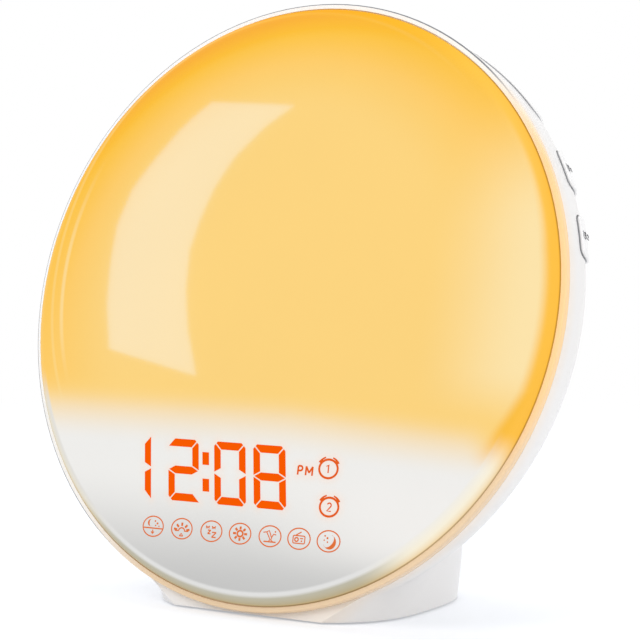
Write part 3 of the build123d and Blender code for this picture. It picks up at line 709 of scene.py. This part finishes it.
lit_digits = strips_mesh("lit_digits", time_marks, on_crown, digit_lift, mark_sink)
lit_bells = strips_mesh("lit_bells", small_marks, on_crown, sign_lift, mark_sink)
lit_signs = strips_mesh("lit_signs", sign_marks, on_crown, sign_lift, mark_sink)
print(len(small_marks) + len(sign_marks), "small strokes")

# %% [markdown]
# ## Light through the dome
# Five measures steer the dome's colour: how far right, up and out of the face's middle a point
# lies, how far across from its axis, and how far the surface has turned from the face to the side,
# which is the angle about the shoulder's circle. Three more are made from these, for the flank,
# the height in the display and its upper border. A zone is one measure with its values at 0 and at
# 1, and a part of the dome is a product of zones. Near a lit mark the milky plastic glows a little,
# so exp(-(distance / width)^2) is kept on each vertex.

# %% Halo of the lit marks
halo_top = -36.0
halo_width = 1.3
dome_places = vertex_places(dome)
on_front = dome_places[:, 2] > dome_height - dome_crown
mark_points = np.concatenate([edge for mark in time_marks + small_marks for edge in mark[:2]])
near = np.flatnonzero((dome_places[:, 1] < halo_top) & on_front)
gap = np.full(len(dome_places), 99.0)
for block in np.array_split(near, 40):
    away = dome_places[block][:, None, :2] - mark_points[None]
    gap[block] = np.sqrt((away ** 2).sum(2).min(1))
halo = dome.data.attributes.new("halo", "FLOAT", "POINT")
halo.data.foreach_set("value", np.exp(-(gap / halo_width) ** 2).astype(np.float32))
print(len(near), "vertices near the marks")

# %% Measures, zones and colours of the dome


def measures(tree, axes, origin):
    """Right, up and out of an origin, each (place - origin) . axis, and across, the length of
    right and up."""
    away = vector_node(tree, "SUBTRACT", object_place(tree), tuple(origin)).outputs["Vector"]
    at = {name: vector_node(tree, "DOT_PRODUCT", away, tuple(axis / MM)).outputs["Value"]
          for name, axis in zip(("right", "up", "out"), axes)}
    at["across"] = length(tree, at["right"], at["up"])
    return at


zones = {
    "edge": ("across", 52, 86),
    # The two thin pale lines along the upper left edge are painted highlights.
    "highlight line fades": ("right", 62, 20),
    "highlight line grows": ("right", 0, -60),
    "far left": ("right", -40, -60),
    "over display": ("up", -30, -4),
    "under top": ("up", 44, 8),
    # A painted highlight: the right part of the glow turns pale.
    "highlight right": ("right", 46, 78),
    "highlight below": ("up", 62, 20),
    "highlight above": ("up", -34, -16),
    "highlight front": ("turn", 0.5, 0.2),
    "flank": ("flank", 79.4, 83.4),
    "right half": ("right", -10, 50),
    # Painted shade: the display turns grey towards its foot.
    "white": ("level", -84, -49),
    "warm": ("level", -43.5, -25),
    # A painted highlight on the right of the display.
    "bright right": ("right", -10, 62),
    "bright below": ("up", -40, -56),
    "bright above": ("up", -76, -62),
    # The foot of the shoulder, where its painted highlight band and painted shade show.
    "foot": ("up", -58, -72),
    "foot ends": ("right", 54, 34),
    "shoulder": ("turn", 0, 0.14),
    "drop edge": ("flank", 74, 85),
    "drop right": ("right", 20, 60),
    "lit": ("border", -34, -22),
    # Painted shade in the gap where the dome stands in the rim.
    "shaded joint": ("out", 0.4, -0.2),
    # Painted shade on the dome's side at the far left.
    "side": ("turn", 0.3, 0.7),
    "dull": ("turn", 0.1, 0.6),
}
glow_stops = [(0.0, (254, 214, 129)), (0.2, (254, 210, 118)), (0.4, (255, 206, 108)),
              (0.73, (254, 198, 75)), (0.87, (253, 187, 42)), (0.95, (251, 177, 18))]
# Painted light and shade on the shoulder: darker left, lighter right, low a highlight band, then
# shade. Further round the side the lamp's warm glow shows through.
foot_left_shade_stops = [(0.1, (229, 227, 222)), (0.45, (230, 222, 200)), (0.8, (236, 208, 150))]
foot_right_highlight_stops = [(0.1, (243, 240, 232)), (0.5, (248, 240, 218)), (0.9, (242, 216, 168))]
foot_low_highlight_shade_stops = [(0.05, (229, 229, 228)), (0.22, (227, 227, 225)), (0.36, (192, 188, 170)),
                  (0.7, (190, 178, 146)), (0.95, (200, 176, 128))]
# The two thin pale lines of the glow are painted highlights on the dome's shoulder.
highlight_line_radius = 76.8  # of the outer pale line, at the face's middle
highlight_line_up, highlight_line_right = 5.5, -1.9  # its way out over one dome radius up or right
highlight_line_step = 3.5  # from it in to the inner line
outer_highlight_edge = (0.8, 0.1)  # how far from the line it is gone, and full
inner_highlight_edge = (1.0, 0.2)
flank_top, flank_foot = 15.0, -22.0
glow_share = 0.74
body_share = 0.28
gloss_veil = 0.045
print(len(zones), "zones")

# %% Dome material


def lit_colour(tree, at, share):
    """The glow, pale in the middle and deeper towards the upper left edge.

    Two thin pale lines, painted highlights, follow that edge, the inner one only beside the middle.
    The right part is pale with a painted highlight, and its flank deeper again.
    """
    lean = math_node(tree, "ADD", weighted(tree, 0.0, (0.55 / dome_radius, at["up"]),
                                           (-0.2 / dome_radius, at["right"])), 0.45, clamp=True)
    glow = colour_ramp(tree, times(tree, share("edge"), lean), glow_stops)
    # Painted highlights: a thin pale line along the edge and a second one inside it.
    off_highlight_line = weighted(tree, math_node(tree, "SUBTRACT", at["across"], highlight_line_radius),
                        (-highlight_line_up / dome_radius, at["up"]),
                        (-highlight_line_right / dome_radius, at["right"]))
    outer = times(tree, smooth_step(tree, math_node(tree, "ABSOLUTE", off_highlight_line), *outer_highlight_edge),
                  share("highlight line fades"), weighted(tree, 0.1, (0.22, share("highlight line grows"))))
    off_inner_highlight = math_node(tree, "ABSOLUTE", math_node(tree, "ADD", off_highlight_line, highlight_line_step))
    inner = times(tree, smooth_step(tree, off_inner_highlight, *inner_highlight_edge),
                  share("over display", "under top", "far left"), 0.5)
    # A painted highlight, pale, on the right part of the glow.
    pale = share("highlight right", "highlight below", "highlight above", "highlight front")
    for amount, colour in ((outer, (255, 228, 160)), (inner, (255, 232, 176)),
                           (pale, (254, 229, 172)), (share("flank", "right half"), (252, 192, 72))):
        glow = mix_colour(tree, amount, glow, linear(*colour))
    return glow


def display_colour(tree, at, share):
    """White behind the digits, painted shade to grey at the foot, warm at the top, and its
    shoulder.
    """
    # Painted shade: grey low on the display, white higher up.
    face = mix_colour(tree, share("white"), linear(199, 199, 198), linear(241, 240, 237))
    face = mix_colour(tree, share("warm"), face, linear(254, 214, 129))
    # A painted highlight: the display is paler on its right.
    bright = share("bright right", "bright below", "bright above")
    face = mix_colour(tree, bright, face, linear(243, 241, 238))
    # The shoulder: painted shade on the left, painted highlight on the right, low a band of both.
    left, right, low = (colour_ramp(tree, at["turn"], stops)
                        for stops in (foot_left_shade_stops, foot_right_highlight_stops, foot_low_highlight_shade_stops))
    foot = mix_colour(tree, share("right half"), left, right)
    foot = mix_colour(tree, share("foot", "foot ends"), foot, low)
    return mix_colour(tree, share("shoulder"), face, foot)


def light_through(name):
    """Light of each zone's colour under a clear gloss.

    The gloss adds a thin white veil, which is taken off the light below it. The light is a share of
    emission and a smaller one of plain colour, so the painted highlights and painted shade of the
    zones, and the white behind the digits, glow as well. Milky plastic is a little uneven in depth
    and gloss.
    """
    material, tree, shader = new_material(name)
    at = measures(tree, face_axes, face_middle)

    def share(*names):
        """The product of the named zones."""
        rows = (zones[zone] for zone in names)
        return times(tree, *(smooth_step(tree, at[measure], low, high)
                             for measure, low, high in rows))

    middle_r, middle_w = shoulder_circle(dome_radius, dome_height, dome_corner)[2]
    angle = math_node(tree, "ARCTAN2", math_node(tree, "SUBTRACT", at["across"], middle_r),
                      math_node(tree, "SUBTRACT", at["out"], middle_w))
    at["turn"] = times(tree, angle, 2 / math.pi)
    at["flank"] = weighted(tree, at["across"], (-0.06, beyond(tree, at["up"], flank_top)),
                           (0.2, beyond(tree, flank_foot, at["up"])))
    at["level"] = weighted(tree, at["up"], (0.06, beyond(tree, at["right"], 10.0)))
    at["border"] = weighted(tree, at["level"], (6.5, share("drop edge", "drop right")))

    colour = mix_colour(tree, share("lit"), display_colour(tree, at, share),
                        lit_colour(tree, at, share))
    near_mark = add_node(tree, "Attribute", attribute_name="halo").outputs["Fac"]
    # Painted shade in the rim's gap and on the far left side, then the glow near the lit marks.
    for amount, zone, tint in ((0.5, share("shaded joint"), (0.20, 0.10, 0.03, 1.0)),
                               (0.4, share("side", "far left"), (0.45, 0.30, 0.10, 1.0)),
                               (0.35, near_mark, linear(255, 226, 206))):
        colour = mix_colour(tree, times(tree, zone, amount), colour, tint)

    gloss = weighted(tree, 1.0, (-0.85, share("dull")))
    veil = times(tree, gloss, gloss_veil)
    unveiled = vector_node(tree, "SUBTRACT", colour, veil).outputs["Vector"]
    colour = vector_node(tree, "MAXIMUM", unveiled, (0.0, 0.0, 0.0)).outputs["Vector"]
    cloud = noise(tree, object_place(tree), 22.0)
    feed_all(tree, shader, {
        "Emission Color": colour, "Emission Strength": around(tree, cloud, glow_share, 0.05),
        "Base Color": mix_colour(tree, 1.0 - body_share, colour, black),
        "Roughness": around(tree, cloud, 0.33, 0.06), "Specular IOR Level": 0.0,
        "Coat Weight": gloss, "Coat Roughness": 0.04})
    return material


def lit_finish(name, colour, strength, drift=0.04):
    """Light through a guide: nearly flat, a little uneven along it."""
    material, tree, shader = new_material(name)
    wave = noise(tree, object_place(tree), 120.0)
    light = linear(*colour)
    feed_all(tree, shader, {
        "Emission Color": mix_colour(tree, wave, light, dimmed(light, drift)),
        "Emission Strength": strength, "Base Color": black, "Specular IOR Level": 0.0})
    return material


dome.data.materials.append(light_through("lit opal dome"))
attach(dome, "clock")
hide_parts("front_diffuser")
lit_marks = ((lit_digits, lit_finish("orange digit light", (252, 92, 2), 0.98)),
             (lit_bells, lit_finish("orange bell light", (240, 100, 34), 0.92)),
             (lit_signs, lit_finish("orange sign light", (240, 122, 62), 0.9, 0.08)))
for marks, light in lit_marks:
    marks.data.materials.append(light)
    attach(marks, "clock")
print("a dome and", len(lit_marks), "lit finishes")

# %% [markdown]
# ## Glow on the white plastic
# The lit dome's light is painted on the white plastic: the rim turns peach on its right and at its
# foot, darker towards the foot, and glows a little, most where it is peach, and the first
# millimetres of the housing behind it warm there. On the upper left the rim stays white, with a
# painted grey line of shade along its outer edge. The dome's measures give that, so it stays in
# place from every side.

# %% Warm light on the rim and the housing
rim_radius = 86.0
# Where the painted grey line of shade lies across the rim's outer rounding, in mm from the axis.
rim_shade_band = (85.5, 85.66)


def side_share(tree, at, across_share, up_share, low, high):
    """0 to 1 round the rim: a weighted sum of right and up, both as parts of the rim's radius."""
    lean = weighted(tree, 0.0, (across_share / rim_radius, at["right"]),
                    (up_share / rim_radius, at["up"]))
    return smooth_step(tree, lean, low, high)


def base_colour(material):
    """A finish's node tree, its shader, and what feeds its colour."""
    shader = material.node_tree.nodes["Principled BSDF"]
    return material.node_tree, shader, shader.inputs["Base Color"].links[0].from_socket


def warm_rim(material):
    """White on the upper left, painted peach light on the right and at the foot, painted grey shade
    at the left edge.
    """
    tree, shader, plain = base_colour(material)
    at = measures(tree, face_axes, face_middle)
    # Painted light from the dome: peach on the right and at the foot, darker lower down.
    lit = side_share(tree, at, 0.75, -0.66, -0.1, 0.4)
    tan = smooth_step(tree, at["up"], -15.0, -52.0)
    peach = mix_colour(tree, tan, linear(246, 204, 146), linear(226, 198, 162))
    # Painted shade: a grey line on the rim's outer rounding at the upper left.
    edge = times(tree, smooth_step(tree, at["across"], *rim_shade_band),
                 side_share(tree, at, -0.75, 0.65, -0.2, 0.05),
                 smooth_step(tree, at["out"], -0.6, -0.4))
    colour = mix_colour(tree, lit, plain, peach)
    colour = mix_colour(tree, edge, colour, linear(118, 120, 124))
    # A painted glow: the rim gives off a little light, more where it is peach, none in the grey
    # line.
    glow = times(tree, weighted(tree, 0.06, (0.06, lit)), weighted(tree, 1.0, (-1.0, edge)))
    feed_all(tree, shader,
             {"Base Color": colour, "Emission Color": colour, "Emission Strength": glow})


def warm_housing(material):
    """The first millimetres behind the rim pick up a little of the light."""
    tree, shader, plain = base_colour(material)
    at = measures(tree, face_axes, face_middle)
    # Painted light from the dome on the housing just behind the rim, on the right.
    behind_rim = times(tree, smooth_step(tree, at["out"], -8.0, -2.0),
                       side_share(tree, at, 0.9, -0.2, 0.0, 0.6), 0.35)
    feed(tree, shader.inputs["Base Color"],
         mix_colour(tree, behind_rim, plain, linear(250, 226, 196)))


warm_rim(finishes["ring_white"])
warm_housing(finishes["housing_white"])
print("warm light on the rim and the housing")

# %% [markdown]
# ## Marks on the keys
# Each small key carries a printed sign on its outer face, bent to the shell's radius, and the sign
# rides with it.

# %% Printed signs
shell_radius = 85.9
shell_band = 7.0
shell_shoulder = 12.0
key_proud = 0.9
key_depth = 8.9  # of the signs' middle behind the shell's front edge
ink_lift, ink_sink = 0.03, 0.1
key_angles = {"upper": 28.6, "lower": 15.3}
key_top = (shell_radius + key_proud) * MM
ink = finish("grey ink", (112, 112, 116), 0.5, drift=0.1, patch=1)


def on_key(angle):
    """A surface for strips on a key: right runs back along the depth, up runs round the shell.

    A flat point becomes (r cos a, r sin a, -depth - right), with a the key's angle + up / r.
    """
    def surface(flat, height):
        turn = math.radians(angle) + flat[:, 1] * MM / key_top
        radius = key_top + height * MM
        return from_shell(np.stack([radius * np.cos(turn), radius * np.sin(turn),
                                    -(key_depth + flat[:, 0]) * MM], -1))
    return surface


def bell_sign():
    ears = [stroke([(side * 1.15, 0.75), (side * 0.65, 1.2)], 0.3) for side in (-1, 1)]
    return [ring((0, -0.1), 1.0, 1.0, 0.26, 28),
            stroke([(0, 0.5), (0, -0.15), (0.45, -0.15)], 0.22)] + ears


def shade_foot(material):
    """The side walls of a key get painted shade where they go into the housing.

    The shell is a straight band and then a shoulder of one radius, so with x the depth past the
    band, the height over it is the length of (r - shoulder's middle, x) less that radius.
    """
    tree, shader, plain = base_colour(material)
    at = measures(tree, shell_axes, shell_middle)
    over = math_node(tree, "SUBTRACT", at["across"], shell_radius - shell_shoulder)
    height = length(tree, over, beyond(tree, -shell_band, at["out"]))
    # Painted shade on the key's side walls where they go into the housing.
    foot = smooth_step(tree, height, shell_shoulder + 0.4, shell_shoulder + 0.15)
    feed(tree, shader.inputs["Base Color"], mix_colour(tree, foot, plain, linear(168, 169, 172)))


shade_foot(finishes["key_white"])
sun_beams = beams((0, 0), 1.3, 1.9, range(0, 360, 45), 0.24, 1.0)
sun_sign = [ring((0, 0), 1.0, 1.0, 0.26, 28)] + sun_beams
plus_sign = [stroke([(-1.2, 0), (1.2, 0)], 0.3), stroke([(0, -1.2), (0, 1.2)], 0.3)]
key_signs = {
    "upper_right_key": (key_angles["upper"], bell_sign() + moved(small_one(1.5), (2.2, 0))),
    "lower_right_key": (key_angles["lower"], bell_sign() + moved(small_two(1.5), (2.2, 0))),
    "upper_left_key": (180 - key_angles["upper"], sun_sign),
    "lower_left_key": (180 - key_angles["lower"], plus_sign)}
for key, (angle, marks) in key_signs.items():
    marks = moved(marks, (-0.6, 0.0), 0.9)
    sign = strips_mesh(key + "_sign", marks, on_key(angle), ink_lift, ink_sink)
    sign.data.materials.append(ink)
    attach(sign, key + "_body")
print(len(key_signs), "printed signs")

# %% [markdown]
# ## Floor, light and camera
# The floor and the room are white to the camera and pale to everything else, so the object stands
# in an even studio. Near the object the floor shows its soft shadow, which fades into the white.
# Soft sources in front, to each side and above, and a dim room, light it.

# %% Camera
azimuth, elevation, distance = math.radians(32.0), math.radians(3.37), 0.6
aim_right, aim_height = 0.0103, 0.0798
camera = bpy.data.objects.new("camera", bpy.data.cameras.new("camera"))
bpy.context.scene.collection.objects.link(camera)
sideways = Vector((math.cos(azimuth), math.sin(azimuth), 0.0))
back = Vector((math.sin(azimuth) * math.cos(elevation), -math.cos(azimuth) * math.cos(elevation),
               math.sin(elevation)))
aim = Vector((0.0, face_middle[1], aim_height)) + aim_right * sideways
camera.matrix_world = Matrix.Translation(aim + back * distance) @ Matrix(
    (sideways, back.cross(sideways), back)).transposed().to_4x4()
camera.data.sensor_width = 36.0
camera.data.lens = 121.6
camera.data.clip_start = 0.01
bpy.context.scene.camera = camera
bpy.context.scene.view_settings.view_transform = "Standard"
print("camera at", camera.matrix_world.translation)

# %% Floor and room
floor_half = 3.0
shadow_reach = (0.22, 0.6)  # metres; the floor is pure white from the second on


def emptied(data):
    """The node tree of a material or a world, with no node left in it."""
    data.use_nodes = True
    data.node_tree.nodes.clear()
    return data.node_tree


def shader_node(tree, kind, *inputs):
    """The output of a new node with these inputs: a colour and a strength, or shaders to join."""
    return feed_row(tree, add_node(tree, kind), inputs).outputs[0]


def white_to_camera(tree, plain, seen):
    """Shows `seen` to camera rays, in gloss and through glass, and `plain` to all other rays."""
    rays = add_node(tree, "LightPath").outputs
    looked_at = math_node(tree, "MAXIMUM", rays["Is Camera Ray"], rays["Is Glossy Ray"])
    looked_at = math_node(tree, "MAXIMUM", looked_at, rays["Is Transmission Ray"])
    return shader_node(tree, "MixShader", looked_at, plain, seen)


corners = np.array(((-1, -1, 0), (1, -1, 0), (1, 1, 0), (-1, 1, 0))) * floor_half
floor = make_mesh("floor", corners, np.array(((0, 1, 2, 3),)), smooth=False)
floor_material = bpy.data.materials.new("pale floor")
tree = emptied(floor_material)
shadowed = shader_node(tree, "AddShader",
                       shader_node(tree, "BsdfDiffuse", (0.66, 0.67, 0.69, 1.0)),
                       shader_node(tree, "Emission", (0.94, 0.96, 1.0, 1.0), 0.40))
reach = vector_node(tree, "LENGTH", object_place(tree)).outputs["Value"]
seen = shader_node(tree, "MixShader", smooth_step(tree, reach, *shadow_reach), shadowed,
                   shader_node(tree, "Emission", white, 1.0))
plain = shader_node(tree, "BsdfDiffuse", (0.82, 0.82, 0.83, 1.0))
feed_row(tree, add_node(tree, "OutputMaterial"), [white_to_camera(tree, plain, seen)])
floor.data.materials.append(floor_material)

world = bpy.data.worlds.new("studio")
bpy.context.scene.world = world
tree = emptied(world)
room = white_to_camera(tree, shader_node(tree, "Background", (0.97, 0.98, 1.0, 1.0), 0.62),
                       shader_node(tree, "Background", white, 1.0))
feed_row(tree, add_node(tree, "OutputWorld"), [room])


def soft_light(name, place, size, power):
    """A rectangle of light that looks at the middle of the clock and shows in no reflection."""
    lamp = bpy.data.lights.new(name, "AREA")
    lamp.shape = "RECTANGLE"
    lamp.size, lamp.size_y = size
    lamp.energy = power
    light = bpy.data.objects.new(name, lamp)
    light.location = place
    way = Vector((0, 0, 0.08)) - Vector(place)
    light.rotation_euler = way.to_track_quat("-Z", "Y").to_euler()
    bpy.context.scene.collection.objects.link(light)
    light.visible_camera = False
    light.visible_glossy = False


lights = (("front light", (-0.35, -0.9, 0.9), (0.8, 0.8), 5.0),
          ("left light", (-1.0, 0.3, 0.7), (0.6, 0.9), 2.5),
          ("right light", (1.0, -0.3, 0.5), (0.6, 0.9), 3.4),
          ("top light", (0.0, 0.4, 1.2), (0.9, 0.6), 3.0))
for light in lights:
    soft_light(*light)
print("a floor, a room and", len(lights), "lights")

# %% [markdown]
# ## Window in the dome
# A tall bright panel stands to the left of the camera, placed by turning the camera's rays about
# the crown's normal, out = in - 2 (in . n) n, so its corners fall where the crown should show them.

# %% Reflected panel
window_left = [(-30.5, 56.8), (-35.5, 53.0), (-40.4, 48.6), (-49.3, 38.2), (-54.6, 30.8),
               (-58.1, 20.3), (-58.5, 8.3), (-57.5, -3.5), (-54.4, -16.4)]
window_right = [(-1.7, 55.1), (-10.7, 48.9), (-19.4, 40.2), (-24.8, 31.4), (-28.3, 21.8),
                (-30.3, 13.0), (-29.7, 1.4), (-27.1, -10.0), (-22.2, -22.9)]
eye = np.array(camera.location)


def unit(vectors):
    return vectors / np.linalg.norm(vectors, axis=1, keepdims=True)


def mirrored(flat, far):
    """Where a ray from the camera, mirrored by the crown at a flat place, is after `far` metres.

    The crown falls by 2 crown r / R^2 at the radius r, so its normal leans outward by that much.
    """
    flat = np.asarray(flat, float)
    radius = np.hypot(flat[:, 0], flat[:, 1])
    points = on_crown(flat, 0.0)
    slope = 2 * dome_crown * radius / dome_radius ** 2
    way = flat / radius[:, None]
    normals = unit(np.column_stack([way * slope[:, None], np.ones(len(flat))])) @ face_axes
    rays_in = unit(points - eye)
    rays_out = rays_in - 2 * (rays_in * normals).sum(1, keepdims=True) * normals
    return points + rays_out * far


def panel(name, edges, far, colour, strength):
    """A bright sheet that only gloss sees; its two edges are flat places on the crown."""
    points = np.concatenate([mirrored(edge, far) for edge in edges])
    cells = grid_quads(2, len(edges[0]), close_columns=False)
    sheet = make_mesh(name, points, cells, smooth=False)
    material = bpy.data.materials.new(name)
    tree = emptied(material)
    feed_row(tree, add_node(tree, "OutputMaterial"),
             [shader_node(tree, "Emission", colour, strength)])
    sheet.data.materials.append(material)
    for ray in ("camera", "diffuse", "shadow", "transmission", "volume_scatter"):
        setattr(sheet, "visible_" + ray, False)


panel("window panel", (window_left, window_right), far=0.7, colour=(0.16, 0.56, 1.0, 1.0),
      strength=6.4)
print("a window panel with", len(window_left), "rows")
